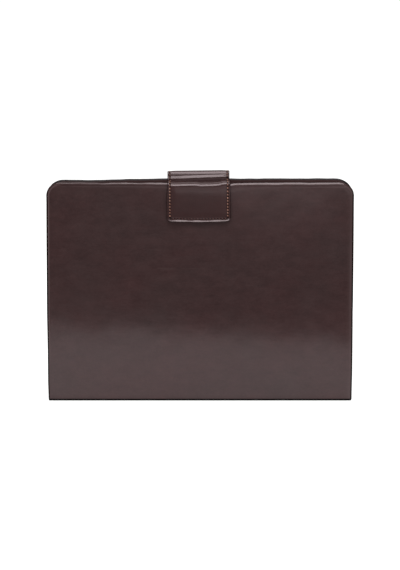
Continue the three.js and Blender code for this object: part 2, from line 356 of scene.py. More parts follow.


# %% [markdown]
# ## Leather finishes
#
# The hide is coated, so its shine is smooth, but under it lie fine level creases, small pores,
# a mottled grain and a cloudy colour between red brown and grey brown. Painting this as an image
# would tie it to one size; noise drawn out along the width gives creases at any size. The shine
# comes from the roughness and the bump. The cut edges are dyed almost black, and that band is
# painted wider as the shade along the outline and above the floor. Beside the side edges a
# lighter line is a painted highlight, and along the stitches the colour is darkened as painted
# shade.


# %% Node helpers
class Nodes:
    """Adds nodes to a material and links them with short calls."""

    def __init__(self, material):
        self.tree = material.node_tree
        self.shader = self.tree.nodes["Principled BSDF"]

    def add(self, kind, links=None, values=None, **settings):
        """One node, with its settings, its input values and the sockets linked into it."""
        made = self.tree.nodes.new("ShaderNode" + kind)
        for key, value in settings.items():
            setattr(made, key, value)
        for key, value in (values or {}).items():
            made.inputs[key].default_value = value
        for key, socket in (links or {}).items():
            self.tree.links.new(socket, made.inputs[key])
        return made

    def attribute(self, name):
        """A number that the mesh carries at each of its points."""
        return self.add("Attribute", attribute_name=name).outputs["Fac"]

    def into(self, name, socket):
        """Links a socket to an input of the shader."""
        self.tree.links.new(socket, self.shader.inputs[name])

    def noise(self, vector, scale, detail=3.0, roughness=0.55):
        """Smooth noise over a vector, from zero to one."""
        return self.add(
            "TexNoise",
            {"Vector": vector},
            {"Scale": scale, "Detail": detail, "Roughness": roughness},
        ).outputs["Fac"]

    def stretch(self, vector, scale):
        """A vector with each of its three lengths scaled by its own factor."""
        return self.add("Mapping", {"Vector": vector}, {"Scale": scale}).outputs["Vector"]

    def math(self, operation, first, second):
        """Arithmetic on sockets or plain numbers."""
        made = self.add("Math", operation=operation)
        for slot, value in enumerate((first, second)):
            if isinstance(value, (int, float)):
                made.inputs[slot].default_value = value
            else:
                self.tree.links.new(value, made.inputs[slot])
        return made.outputs[0]

    def ramp(self, value, low, high):
        """Zero below low and one above high."""
        return self.add(
            "MapRange", {"Value": value}, {"From Min": low, "From Max": high}
        ).outputs["Result"]

    def blend(self, share, first, second):
        """A mix of two colours, each a socket or four plain numbers."""
        made = self.add("Mix", {"Factor": share}, data_type="RGBA")
        for slot, value in ((6, first), (7, second)):
            if isinstance(value, tuple):
                made.inputs[slot].default_value = value
            else:
                self.tree.links.new(value, made.inputs[slot])
        return made.outputs[2]

    def bump(self, height, strength, depth, under=None):
        """A bump of that depth in metres, on top of another bump if one is given."""
        links = {"Height": height}
        if under is not None:
            links["Normal"] = under
        values = {"Strength": strength, "Distance": depth}
        return self.add("Bump", links, values).outputs["Normal"]


def finish_start(name):
    """A new material with its node helper and its shader."""
    material = bpy.data.materials.new(name)
    material.use_nodes = True
    nodes = Nodes(material)
    return material, nodes, nodes.shader


# %% Coated leather
# Dark edge dye, also painted as the shade along the outline and as contact shade above the floor
EDGE_DYE_AND_SHADE = (0.0025, 0.0014, 0.0014, 1)
SEAM_SHADE = (0.006, 0.003, 0.0026, 1)
STREAK = (0.052, 0.036, 0.035, 1)
SIDE_HIGHLIGHT_COLOR = (0.07, 0.047, 0.047, 1)
COOL_SHINE = (1, 0.86, 0.88, 1)

# How fine each pattern is: about so many of its spots lie along a metre
CLOUDS, MOTTLE, GRAIN, STREAKS, STREAK_PATCHES, WEAR = 16, 420, 82, 240, 22, 260
GLOSS, LONG_CREASES, SHORT_CREASES, PORES = 60, 330, 1300, 1500


def coated_leather(name, red, grey, roughness, mottled, by_uv=False, crinkle=0.05 * MM):
    """Glossy coated hide: clouds of two browns under a mottled grain, level creases, pores,
    a painted highlight line, and dark dyed edges that are also painted shade, with painted shade
    along the stitches. On a folded piece the patterns follow its UV map."""
    material, nodes, shader = finish_start(name)
    source = nodes.add("TexCoord").outputs["UV" if by_uv else "Object"]

    def drawn_out(share):
        """The place with its level lengths scaled by share, so that spots are longer than high."""
        return nodes.stretch(source, (share, 1, 1) if by_uv else (share, share, 1))

    creased = drawn_out(0.22)
    clouds = nodes.noise(source, CLOUDS, 4)
    mottle = nodes.noise(creased, MOTTLE, 3)
    cloudy = nodes.ramp(nodes.math("ADD", clouds, nodes.math("MULTIPLY", mottle, 0.35)), 0.5, 0.85)
    color = nodes.blend(cloudy, red, grey)
    streaks = nodes.ramp(nodes.noise(drawn_out(0.07), STREAKS, 2), 0.66, 0.76)
    patches = nodes.ramp(nodes.noise(source, STREAK_PATCHES, 1), 0.5, 0.62)
    streaks = nodes.math("MULTIPLY", streaks, patches)
    color = nodes.blend(nodes.math("MULTIPLY", streaks, 0.2), color, STREAK)
    grain = nodes.math("MULTIPLY", nodes.noise(drawn_out(0.55), GRAIN, 6, 0.9), mottled)
    value = nodes.math("ADD", grain, 1 - mottled / 2)
    color = nodes.add("HueSaturation", {"Color": color, "Value": value}).outputs["Color"]
    # Painted highlight: a lighter line just inside the front's side edges
    painted_highlight = nodes.attribute("painted_highlight")
    color = nodes.blend(painted_highlight, color, SIDE_HIGHLIGHT_COLOR)
    # Dark dyed edges with painted shade along the outline and at the foot; the wear noise thins it
    # a little
    edge = nodes.attribute("edge")
    wear = nodes.ramp(nodes.noise(source, WEAR, 2), 0.62, 0.8)
    paint = nodes.math("SUBTRACT", edge, nodes.math("MULTIPLY", wear, 0.25))
    color = nodes.blend(nodes.ramp(paint, 0.3, 0.7), color, EDGE_DYE_AND_SHADE)
    # Painted shade: darker along the stitch lines, in the groove and the holes
    seam = nodes.attribute("seam")
    color = nodes.blend(nodes.ramp(seam, 0.3, 0.8), color, SEAM_SHADE)
    nodes.into("Base Color", color)
    uneven = nodes.math("MULTIPLY", nodes.noise(creased, GLOSS, 3), 0.08)
    nodes.into("Roughness", nodes.math("ADD", uneven, roughness - 0.04))
    long_creases = nodes.noise(creased, LONG_CREASES, 4, 0.6)
    short_creases = nodes.noise(creased, SHORT_CREASES, 2)
    pores = nodes.add(
        "TexVoronoi", {"Vector": source}, {"Scale": PORES}, feature="F1"
    ).outputs["Distance"]
    normal = nodes.bump(long_creases, 0.5, crinkle)
    normal = nodes.bump(short_creases, 0.35, crinkle * 0.4, normal)
    normal = nodes.bump(pores, 0.2, crinkle * 0.3, normal)
    nodes.into("Normal", normal)
    matte_paint = nodes.math("MULTIPLY", nodes.math("MAXIMUM", edge, seam), 0.42)
    nodes.into("Specular IOR Level", nodes.math("SUBTRACT", 0.5, matte_paint))
    shader.inputs["Specular Tint"].default_value = COOL_SHINE
    shader.inputs["IOR"].default_value = 1.45
    return material


def lining_leather(name, dark, light):
    """The satin inside of the walls: fine grain in two close browns, and the painted edge."""
    material, nodes, shader = finish_start(name)
    source = nodes.add("TexCoord").outputs["Object"]
    nap = nodes.noise(source, 900, 4, 0.7)
    patches = nodes.noise(source, 25, 2)
    share = nodes.ramp(nodes.math("ADD", nap, patches), 0.8, 1.25)
    edge = nodes.attribute("edge")
    color = nodes.blend(share, dark, light)
    color = nodes.blend(nodes.ramp(edge, 0.3, 0.7), color, EDGE_DYE_AND_SHADE)
    nodes.into("Base Color", color)
    nodes.into("Normal", nodes.bump(nap, 0.5, 0.06 * MM))
    shader.inputs["Roughness"].default_value = 0.5
    shader.inputs["Specular IOR Level"].default_value = 0.3
    shader.inputs["Specular Tint"].default_value = COOL_SHINE
    return material


cover_finish = coated_leather(
    "cover_coated", (0.0302, 0.0154, 0.0153, 1), (0.0275, 0.0162, 0.016, 1), 0.16, 1.15
)
tab_finish = coated_leather(
    "tab_coated", (0.0275, 0.0133, 0.0132, 1), (0.0255, 0.0144, 0.0142, 1), 0.16, 0.6, by_uv=True
)
gusset_finish = coated_leather(
    "gusset_satin", (0.038, 0.0185, 0.0175, 1), (0.033, 0.02, 0.0195, 1), 0.38, 0.8,
    crinkle=0.12 * MM,
)
lining_finish = lining_leather(
    "lining_satin", (0.034, 0.0165, 0.016, 1), (0.043, 0.021, 0.0205, 1)
)
print("finishes:", [m.name for m in bpy.data.materials])

# %% [markdown]
# ## Cover
#
# The cover is one padded hide: front wall, base and back wall. It could be cut from a box, but
# then the walls would stay dead flat. Here a U-shaped profile is carried across the width. The
# padding makes each wall stand out a little in the middle, slow waves run over it, the rims
# rise and fall slightly, and a line is creased just inside the edge. A cloth simulation could
# pad it, but a stiff hide that stands by itself is set by its pattern, not by its weight.

# %% Cover sizes
WALL = 4 * MM
CROWN = 1.5 * MM
INNER_BEND = 0.6 * MM
CORNER = 18 * MM
FRONT_CORNER = 15.5 * MM
BACK_LEFT_CORNER = 16.2 * MM
CREASE_IN = 4.2 * MM
CREASE_DEPTH = 0.1 * MM
CREASE_WIDTH = 0.5 * MM
# The edges are dyed dark and the band is painted wide as the shade along the outline; near the
# floor a black band is painted as contact shade, and above it the shine is dulled, darker towards
# the floor
PAINTED = 1.6 * MM
PAINTED_RIM = 0.3 * MM
FOOT_SHADE_BAND = 2.4 * MM
DULL_FOOT = 0.3
DULL_HEIGHT = (2 * MM, 6 * MM)

# Rows and columns of the grid, and where things fade: the rim's thin paint below the rim, the
# waves above the floor and inwards from the edge, and the rims' rise and fall as a share of
# the wall's height
COVER_COLUMNS = 120
WALL_ROWS = 87
CORNER_ROWS = 10
BASE_ROWS = 16
RIM_PAINT_FADE = (6 * MM, 16 * MM)
STILL_FOOT = 30 * MM
STILL_EDGE = 9 * MM
LIFTED = (0.78, 1.0)

# Along the side edges of the front a lighter line is painted as a highlight. For the left and
# the right edge: how far in the line lies, half its width, and its strength at heights in metres.
SIDE_HIGHLIGHT_IN = (2.5 * MM, 3.0 * MM)
SIDE_HIGHLIGHT_WIDTH = (0.65 * MM, 2.0 * MM)
SIDE_HIGHLIGHT_SHARE = np.array([
    [0.0, 0.0, 0.2], [0.04, 0.05, 0.1], [0.08, 0.5, 0.28], [0.11, 0.65, 0.33], [0.16, 0.75, 0.36],
    [0.2, 0.85, 0.2], [0.25, 0.7, 0.25],
])

# The foot of the wall in millimetres, inwards from the face and upwards: it rounds a little,
# and a thin band painted black as contact shade shows above the floor.
FOOT = np.array([
    [0.0, 2.6], [0.02, 2.1], [0.1, 1.75], [0.25, 1.5], [0.3, 1.25], [0.3, 0.9], [0.32, 0.55],
    [0.42, 0.25], [0.7, 0.06], [1.4, 0.0],
])

# The rim is not a half circle: the padding thins out towards it. Distance from the edge, and how
# far the outer face then stands off the middle of the wall, in millimetres.
RIM_SHAPE = np.array([
    [0.0, 0.0], [0.04, 0.2], [0.16, 0.42], [0.4, 0.6], [0.8, 0.88], [1.3, 1.22], [1.8, 1.54],
    [2.2, 1.74], [3.0, 1.87], [4.2, 1.93], [6.0, 1.967], [8.0, 1.985], [12.0, 2.0],
])
RIM_STEPS = np.array(
    [0, 0.02, 0.05, 0.1, 0.2, 0.35, 0.55, 0.8, 1.1, 1.4, 1.7, 2, 2.4, 2.8, 3.4, 3.8, 4.2, 4.6, 5.2]
)

# How much sharper the rim is than that, at shares of half the width
RIM_SHARPNESS = np.array([
    [-1.0, 2.6], [-0.8, 2.1], [-0.7, 1.6], [-0.6, 1.23], [-0.45, 1.18], [-0.35, 1.14],
    [-0.2, 1.1], [0.2, 1.03], [0.6, 0.99], [0.72, 1.0], [0.8, 1.1], [0.9, 1.13], [1.0, 1.3],
])

# Near the floor, where the hide is folded over, the side edges are sharper again by this share,
# which fades out between two heights
FOOT_SHARPNESS = 1.5
FOOT_FOLD = (2 * MM, 14 * MM)

# The tab presses the front rim down: depth, and where the dent starts and ends on each side
RIM_DENT = 2.5 * MM
DENT_LEFT = (-36 * MM, -22 * MM)
DENT_RIGHT = (24 * MM, 44 * MM)

cover_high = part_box("cover")[1]
half_width = cover_high[0]
wall_height = cover_high[2]
half_depth = cover_high[1] - CROWN

# Height and two wavelengths in metres, and a phase, for the waves of the padded walls
WALL_WAVES = [
    (0.10 * MM, 0.34, 0.21, 0.10),
    (0.08 * MM, -0.19, 0.26, 0.45),
    (0.045 * MM, 0.11, -0.13, 0.80),
    (0.03 * MM, 0.07, 0.09, 0.25),
    (0.012 * MM, -0.036, 0.031, 0.60),
]
RIM_WAVES = [
    (0.16 * MM, 0.083, 9.0, 0.15),
    (0.12 * MM, 0.039, 9.0, 0.55),
    (0.07 * MM, 0.019, 9.0, 0.30),
]

# Waves of the rim's sharpness, as a share of it, with two wavelengths in metres and a phase
SHARPNESS_WAVES = [
    (0.045, 0.061, 9.0, 0.3),
    (0.035, 0.027, 9.0, 0.7),
    (0.03, 0.013, 9.0, 0.1),
]

# How far along the waves of the back rim are read, so that the two rims don't wave alike
RIM_APART = 0.4

# How far the two rims lie above or below their level, in millimetres at shares of half the width
BACK_RIM = np.array([
    [-1.0, -1.95], [-0.94, -2.1], [-0.88, -1.8], [-0.81, -2.15], [-0.74, -1.95], [-0.66, -1.75],
    [-0.56, -1.4], [-0.48, -0.75], [-0.42, -0.85], [-0.35, -1.05], [-0.28, -0.25], [-0.2, 0.0],
    [0.15, 0.0], [0.22, -0.25], [0.29, -0.38], [0.36, -0.25], [0.42, 0.0], [0.48, 0.0],
    [0.55, -0.5], [0.62, -0.38], [0.72, -0.2], [0.88, 0.05], [0.95, -0.5], [1.0, -0.6],
]) * [1, MM]
FRONT_RIM = np.array([
    [-1.0, 0.2], [-0.8, 0.45], [-0.6, 0.45], [-0.4, 0.4], [-0.2, 0.2], [0.2, 0.0], [0.45, -0.12],
    [0.62, 0.05], [0.76, 0.25], [1.0, 0.2],
]) * [1, MM]

# How far the left and right side edges bow out, in millimetres at heights in metres
SIDE_BOW = np.array([
    [0.0, 0.05, 0.0], [0.012, 0.4, 0.1], [0.02, 0.62, 0.2], [0.03, 0.6, 0.35], [0.06, 0.5, 0.38],
    [0.085, 0.75, 0.3], [0.1, 0.85, 0.15], [0.115, 0.75, 0.25], [0.15, 0.48, 0.2],
    [0.18, 0.35, 0.12], [0.21, 0.1, -0.05], [0.225, -0.05, -0.15], [0.25, 0.0, -0.15],
]) * [1, MM, MM]
print("cover half width", round(half_width / MM, 1), "height", round(wall_height / MM, 1))


# %% Cover mesh
def cover_profile():
    """The U-shaped profile as rows from one rim to the other: outer and inner places in depth
    and height, the distance below the nearer rim, and the side that a row faces."""
    foot = WALL + INNER_BEND
    run = wall_height - foot
    corner = np.linspace(6.2, CORNER / MM, CORNER_ROWS) * MM
    wall = np.linspace(CORNER, run, WALL_ROWS + 1)[1:-1]
    depth = np.concatenate([RIM_STEPS * MM, corner, wall])
    wall_outer = np.column_stack([np.full(len(depth), half_depth), wall_height - depth])
    wall_inner = wall_outer - [WALL, 0]
    turn = np.linspace(0, math.pi / 2, len(FOOT))
    quarter = np.column_stack([1 - np.cos(turn), 1 - np.sin(turn)])
    bend_outer = [half_depth, 0] + FOOT * [-MM, MM]
    bend_inner = [half_depth - WALL, WALL] + quarter * [-INNER_BEND, INNER_BEND]
    outer = np.concatenate([wall_outer, bend_outer])
    inner = np.concatenate([wall_inner, bend_inner])
    below = np.concatenate([depth, run + WALL * turn])
    across = np.linspace(1, -1, BASE_ROWS + 1)[1:-1, None]
    flat_outer = np.concatenate([outer[-1:, :1] * across, 0 * across], axis=1)
    flat_inner = np.concatenate([inner[-1:, :1] * across, 0 * across + WALL], axis=1)
    flat_below = np.full(len(across), below[-1] + half_depth)
    mirror = [-1, 1]
    return (
        np.concatenate([outer * mirror, flat_outer * mirror, outer[::-1]]),
        np.concatenate([inner * mirror, flat_inner * mirror, inner[::-1]]),
        np.concatenate([below, flat_below, below[::-1]]),
        np.concatenate([-np.ones(len(outer) + len(across)), np.ones(len(outer))]),
    )


def rim_dent(x):
    """How far the tab presses the front rim down: level under the tab, with soft ends."""
    return RIM_DENT * (smooth_step(*DENT_LEFT, x) - smooth_step(*DENT_RIGHT, x))


def row_reach(corner, below):
    """How far a row reaches sideways: to the side edge, and less beside a round corner, by the
    circle's own height there."""
    rise = np.maximum(corner - below, 0)
    return half_width - corner + np.sqrt(corner**2 - rise**2)


def make_cover():
    """Carries the profile across the width. Rows near a rim are shortened by the round corner,
    and every point's distance to the outline sets its thickness, crease, dark dyed edge with its
    painted shade, and painted highlight line. Each wall is pushed out by a half sine wave of its
    height, times one less the square of the place across, and by the slow waves."""
    outer_yz, inner_yz, below, side = cover_profile()
    left_corner = np.where(side < 0, FRONT_CORNER, BACK_LEFT_CORNER)
    right_corner = np.where(side < 0, FRONT_CORNER, CORNER)
    left_end = row_reach(left_corner, below)[:, None]
    right_end = row_reach(right_corner, below)[:, None]
    edge = RIM_STEPS * MM
    reach = edge[-1]
    share = np.linspace(0, 1, COVER_COLUMNS + 1)[1:-1]
    between = reach - left_end + (left_end + right_end - 2 * reach) * share
    x = np.hstack([edge - left_end, between, right_end - edge[::-1]])
    up = (wall_height - below)[:, None]
    corner = np.where(x < 0, left_corner[:, None], right_corner[:, None])
    past_x = np.abs(x) - (half_width - corner)
    distance = inward(past_x, np.abs(up) - (wall_height - corner), corner)
    thick = rolled_share(distance, WALL / 2)
    rim_shape = spline(RIM_SHAPE, 12)
    sharpness = read_off(x / half_width, RIM_SHARPNESS) + waves(x, up, SHARPNESS_WAVES)
    sharpness = sharpness * (1 + FOOT_SHARPNESS * (1 - smooth_step(*FOOT_FOLD, up)))
    outer_thick = read_off(distance / MM * sharpness, rim_shape / [1, rim_shape[-1, 1]])
    height_share = np.clip(below / wall_height, 0, 1)[:, None]
    crown = CROWN * np.sin(math.pi * height_share) * (1 - (x / half_width) ** 2)
    on_wall = smooth_step(0, STILL_FOOT, up) * smooth_step(0, STILL_EDGE, distance)
    push = crown + waves(x, up, WALL_WAVES) * on_wall
    near_rim = smooth_step(*LIFTED, 1 - height_share)
    lift = waves(x + RIM_APART * (side[:, None] > 0), up, RIM_WAVES)
    back = read_off(x / half_width, BACK_RIM)
    front = read_off(x / half_width, FRONT_RIM) - rim_dent(x)
    lift = (lift + np.where(side[:, None] > 0, back, front)) * near_rim
    bow = 1 + np.where(x < 0, read_off(up, SIDE_BOW), read_off(up, SIDE_BOW, 2)) / half_width
    crease = CREASE_DEPTH * bell(distance - CREASE_IN, CREASE_WIDTH)
    half_thick = (outer_yz - inner_yz) / 2
    middle = (outer_yz + inner_yz) / 2
    pinch = 1 - crease / (WALL / 2)

    def face(sign, share):
        y = middle[:, None, 0] + sign * half_thick[:, None, 0] * share * pinch
        z = middle[:, None, 1] + sign * half_thick[:, None, 1] * share * pinch
        return np.stack([x * bow, y + side[:, None] * push, z + lift], axis=-1)

    outer = face(1, outer_thick)
    in_front = side[:, None] < 0
    on_rim = in_front * (1 - smooth_step(*RIM_PAINT_FADE, below[:, None]))
    # Dyed edge, painted wide and black as the shade along the outline
    width = PAINTED + (PAINTED_RIM - PAINTED) * on_rim
    painted = 1 - smooth_step(width * 0.85, width * 1.15, distance)
    # Painted shade: a black band just above the floor for the contact shadow, and above it duller
    # shine
    foot = 1 - smooth_step(FOOT_SHADE_BAND - 0.2 * MM, FOOT_SHADE_BAND + 0.2 * MM, outer[:, :, 2])
    foot = np.maximum(foot, DULL_FOOT * (1 - smooth_step(*DULL_HEIGHT, outer[:, :, 2])))
    inner = face(-1, thick)
    # Painted highlight: a lighter line just inside the front's side edges, strongest high up
    beside = smooth_step(half_width - CORNER, half_width - CORNER / 2, np.abs(x)) * in_front
    painted_highlight = [
        bell(distance - SIDE_HIGHLIGHT_IN[k], SIDE_HIGHLIGHT_WIDTH[k]) * read_off(up, SIDE_HIGHLIGHT_SHARE, k + 1)
        for k in (0, 1)
    ]
    painted_highlight = np.where(x < 0, *painted_highlight) * beside
    values = {"edge": np.maximum(painted, foot), "painted_highlight": painted_highlight}
    return closed_sheet("cover_leather", outer, inner, [cover_finish, lining_finish], values)


cover = make_cover()
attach(cover, "root")
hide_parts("cover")

# %% [markdown]
# ## Gussets
#
# Each narrow side is a softer strip, sewn flat to both walls and folded in between them, so
# that the bag can open wider. A straight V would look like sheet metal. This fold wanders a
# little on its way down and its corners are rounded by averaging the path over a short length.

# %% Gusset sizes
GUSSET = 1.5 * MM
GUSSET_INSET = 1.5 * MM
GUSSET_FLANGE = 9 * MM
GUSSET_FOLD = 13 * MM
GUSSET_ROUND = 4 * MM
GUSSET_NOTCH = 7 * MM
SEAT_GAP = 0.3 * MM
GUSSET_COLUMNS = 56
GUSSET_ROWS = 130
GUSSET_PAINT = (0.3 * MM, 0.5 * MM)
WANDER_LIMITS = (-0.9 * MM, 1.4 * MM)
SIDES_APART = 0.1
FOLD_WAVES = [
    (0.9 * MM, 0.31, 9.0, 0.2),
    (0.45 * MM, 0.12, 9.0, 0.7),
    (0.2 * MM, 0.045, 9.0, 0.4),
]


def rounded_path(corners, average):
    """A path through corner points, rounded by averaging it over a short length: a running
    mean of evenly spaced points, with the straight ends kept. Returns a function from lengths
    along the path to its points, and the whole length."""
    walked = way_along(corners)
    fine = np.linspace(0, walked[-1], 2001)
    dense = np.column_stack([np.interp(fine, walked, axis) for axis in corners.T])
    window = int(average / walked[-1] * 2000) | 1
    start = 2 * dense[0] - dense[window // 2 : 0 : -1]
    end = 2 * dense[-1] - dense[-2 : -window // 2 - 1 : -1]
    padded = np.concatenate([start, dense, end])
    kernel = np.full(window, 1 / window)
    smooth = np.column_stack([np.convolve(axis, kernel, "valid") for axis in padded.T])
    run = way_along(smooth)
    return lambda at: np.column_stack([np.interp(at, run, axis) for axis in smooth.T]), run[-1]


def make_gusset(name, sign):
    """A strip whose section runs from the front wall inward to the fold and back to the back
    wall, carried upwards. The fold's depth changes with the height by a sum of slow waves."""
    low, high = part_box(name)
    flange_y = half_depth - WALL - SEAT_GAP - GUSSET / 2
    edge_x = half_width - GUSSET_INSET
    fold_x = edge_x - GUSSET_FLANGE
    corners = np.array([
        [edge_x, -flange_y], [fold_x, -flange_y], [fold_x - GUSSET_FOLD, 0], [fold_x, flange_y],
        [edge_x, flange_y],
    ])
    path, length = rounded_path(corners, GUSSET_ROUND)
    ends = edge_steps(GUSSET / 2, 4)
    places = both_ends(length, ends, GUSSET_COLUMNS)
    section = path(places)
    fold = 1 - np.abs(section[:, 1]) / flange_y
    top = high[2] - GUSSET_NOTCH * np.clip(fold, 0, 1)
    heights = both_ends(1.0, ends / (high[2] - low[2]), GUSSET_ROWS)
    z = low[2] + heights[None, :] * (top - low[2])[:, None]
    wander = waves(z, sign * SIDES_APART, FOLD_WAVES) * np.clip(fold, 0, 1)[:, None]
    x = sign * (section[:, 0][:, None] + np.clip(wander, *WANDER_LIMITS))
    y = section[:, 1][:, None] + 0 * z
    middle = np.stack([x, y, z], axis=-1)
    distance = np.minimum(
        np.minimum(places, length - places)[:, None], np.minimum(z - low[2], top[:, None] - z)
    )
    half = (GUSSET / 2 * rolled_share(distance, GUSSET / 2))[..., None]
    normal = facing(middle)
    painted = 1 - smooth_step(*GUSSET_PAINT, distance)
    outer, inner = middle + normal * half, middle - normal * half
    values = {"edge": painted}
    return closed_sheet(name + "_leather", outer, inner, [gusset_finish] * 2, values)


for gusset_name, gusset_sign in (("gusset_left", -1), ("gusset_right", 1)):
    gusset = make_gusset(gusset_name, gusset_sign)
    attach(gusset, "root")
    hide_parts(gusset_name)

# %% [markdown]
# ## Closing tab
#
# The tab is sewn to the back, stands up in a small loop, dips into the mouth and bends down
# over the front. Leather that is folded by hand never folds squarely: the ridge of the loop
# lies lower at the left than at the right. Its side view is a smooth curve through a few folds,
# and each fold also says how far it tips across the width.

# %% Tab sizes
TAB = 2 * MM
TAB_FRONT_DROP = 43.2 * MM
TAB_BACK_DROP = 45 * MM
TAB_RIM_REACH = 7 * MM
TAB_CORNER = 4.2 * MM
TAB_REAR_SHIFT = -2.3 * MM
TAB_FRONT_SHIFT = -1.4 * MM
TAB_RISE = 8.6 * MM
BEND_BACK = 14.6 * MM
BEND_REACH = 4.7 * MM
TAB_HALF_WIDTH = 34.5 * MM
STITCH_IN = 2.6 * MM
END_STITCH_IN = 3.9 * MM
STITCH_GROOVE = 0.3 * MM
PUFF = 0.3 * MM
LIP = 1.17 * MM
LIP_SLOPE = (0.55 * MM, 2.7 * MM)
LIP_CURVE = 1.35
FLARE = 0.32
GROOVE_WIDTH = (0.8 * MM, 0.7 * MM)
GROOVE_END = 0.5 * MM
PUFF_REACH = 7 * MM
TAB_PAINT = (0.35 * MM, 0.6 * MM)
TAB_END_DYE_AND_SHADE = (0.5 * MM, 1.0 * MM)
TAB_ROWS = 200
TAB_COLUMNS = 70

# Where the tab bends freely: depths below the rim, and places in depth over the front rim and
# before and behind the loop. Then lengths from the front end: where the leg begins to spread
# and where its end begins to bow.
FREE_BELOW = (14 * MM, 4 * MM)
OVER_FRONT = (-4 * MM, -14 * MM)
LOOP_FRONT = (6 * MM, 9 * MM)
LOOP_BACK = (13.5 * MM, 10.5 * MM)
SPREAD_FROM = (38 * MM, 30 * MM)
BOW_FROM = (16 * MM, 3 * MM)

# forward: share of the bag's depth from the back wall's outer face. rise: height above the rim
# as a share of the loop's height. tip: how much of that height the right end gains.
FOLDS = np.array([
    [-0.04, 0.34, 0.02], [-0.016, 0.7, 0.045], [0.022, 0.86, 0.055], [0.0865, 0.452, 0.1],
    [0.0925, 0.3825, 0.096], [0.141, 0.045, 0.17], [0.15, -0.12, 0.1], [0.158, -0.34, 0.02],
    [0.165, -0.385, 0.0], [0.22, -0.4, 0.0], [0.5, -0.34, 0.0], [0.7, -0.2, 0.0],
    [0.84, -0.05, 0.0],
])

# The front leg still hangs back a little below the bend: depth below the rim and how far, in mm
LEAN = np.array([[4.7, 0.42], [8.0, 0.17], [12.0, 0.05], [18.0, 0.0]])


def wall_crown(depth):
    """How far the padded wall stands out midway, at a depth below the rim."""
    return CROWN * math.sin(math.pi * depth / wall_height)


def tab_profile():
    """The tab's side view from the end of its back leg to the end of its front leg: depth,
    height and tip, with the length walked so far."""
    tab_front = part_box("closure_tab")[0][1] + TAB / 2
    seat = SEAT_GAP + TAB / 2
    back_end = [half_depth + wall_crown(TAB_BACK_DROP) + seat, wall_height - TAB_BACK_DROP, 0]
    back_top = [half_depth + wall_crown(TAB_RIM_REACH) + seat, wall_height - TAB_RIM_REACH, 0]
    folds = [half_depth, wall_height, 0] + FOLDS * [-2 * half_depth, TAB_RISE, TAB_RISE]
    turn = np.radians([90, 67, 45, 23])
    bend_front = tab_front + LEAN[0, 1] * MM
    bend_y = -BEND_BACK + (bend_front + BEND_BACK) * np.cos(turn)
    bend_z = wall_height - BEND_REACH + (seat + BEND_REACH) * np.sin(turn)
    bend = np.column_stack([bend_y, bend_z, 0 * turn])
    leg_down, leg_back = LEAN.T * MM
    leg = np.column_stack([tab_front + leg_back, wall_height - leg_down, 0 * leg_down])
    front_end = [tab_front, wall_height - TAB_FRONT_DROP, 0]
    curve = spline(np.vstack([back_end, back_top, folds, bend, leg, front_end]), 60)
    return curve, way_along(curve[:, :2])


tab_curve, tab_walked = tab_profile()
tab_length = tab_walked[-1]
print("tab length along its middle, mm:", round(tab_length / MM, 1))

# Heights in metres along the width and along the length, for the small waves of the tab
TAB_WAVES = [
    (0.1 * MM, 0.021, 0.3, 0.6),
    (0.05 * MM, 0.012, 0.2, 0.35),
]

# How the tab lies on the dented front rim: height in millimetres at shares of half the width
OVER_RIM = np.array([
    [-1.1, 0.3], [-1.0, 0.2], [-0.93, -0.1], [-0.83, -1.35], [-0.45, -1.3], [-0.1, -1.0],
    [0.11, -1.85], [0.22, -1.6], [0.45, -1.3], [0.67, -0.6], [0.8, 0.3], [1.0, 0.9], [1.1, 0.9],
])

# How much higher the tab's front end hangs than straight: millimetres at shares of half the width
END_BOW = np.array([
    [-1.1, 0.3], [-1.0, 0.25], [-0.6, 0.1], [0.0, -0.35], [0.5, 0.0], [0.8, 0.3], [1.1, 0.9],
]) * [1, MM]


def tab_middle(along, across):
    """Points on the middle of the tab's leather: the side view at a length along it, tipped
    and shifted across the width, with small waves where it bends freely. Outside the stitches
    the front leg spreads a little wider, and its end isn't quite level."""
    y, z, tip = (np.interp(along, tab_walked, column) for column in tab_curve.T)
    beside = across / TAB_HALF_WIDTH
    to_end = tab_length - along
    shift = TAB_REAR_SHIFT + (TAB_FRONT_SHIFT - TAB_REAR_SHIFT) * along / tab_length
    free = smooth_step(*FREE_BELOW, wall_height - z)
    over_front = smooth_step(*OVER_FRONT, y)
    in_loop = smooth_step(*LOOP_BACK, y) * smooth_step(*LOOP_FRONT, y)
    ripple = waves(across, along, TAB_WAVES) * free * (over_front + in_loop)
    settled = read_off(beside, spline(OVER_RIM, 24) * [1, MM]) * over_front * free
    beyond = np.maximum(np.abs(across) - TAB_HALF_WIDTH + STITCH_IN, 0)
    spread = np.sign(across) * beyond * FLARE * smooth_step(*SPREAD_FROM, to_end)
    bow = smooth_step(*BOW_FROM, to_end) * read_off(beside, END_BOW)
    rise = tip * beside + ripple + settled + bow
    return np.stack([across + shift + spread, y, z + rise], axis=-1)


# Heights in metres along the width and along the length, for the uneven lip
LIP_WAVES = [
    (0.13, 0.0198, 9.0, 0.27),
    (0.05, 0.0112, 9.0, 0.45),
    (0.03, 0.0061, 9.0, 0.8),
]


